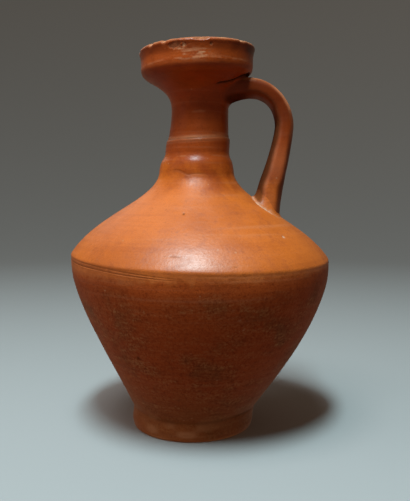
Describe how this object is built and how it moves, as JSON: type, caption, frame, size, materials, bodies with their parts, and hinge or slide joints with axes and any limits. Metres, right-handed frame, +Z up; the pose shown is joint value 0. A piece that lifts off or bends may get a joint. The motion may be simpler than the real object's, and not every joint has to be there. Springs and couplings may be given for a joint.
{
  "type": "jug",
  "caption": "Wheel-thrown red earthenware jug with a keeled belly on a ring foot, a tiered neck, a flared cup mouth and a strap handle, for holding and pouring liquids.",
  "frame": {"origin": "on the table, under the middle of the belly's widest circle", "axes": "+Z up along the jug, +X towards the handle, which is turned 5.5 degrees from +X to +Y"},
  "size_m": [0.1634, 0.1634, 0.2413],
  "materials": {
    "red_slip": "satin",
    "bare_clay": "matte"
  },
  "bodies": {
    "root": {"foot_ring": "red_slip", "belly_bowl": "red_slip", "belly_seam_strip": "bare_clay", "shoulder": "red_slip", "neck_collar": "red_slip", "mouth_funnel": "red_slip", "rim_band": "red_slip", "strap_handle": "red_slip", "handle_root_wad": "red_slip", "handle_foot_pad": "red_slip"}
  },
  "joints": []
}
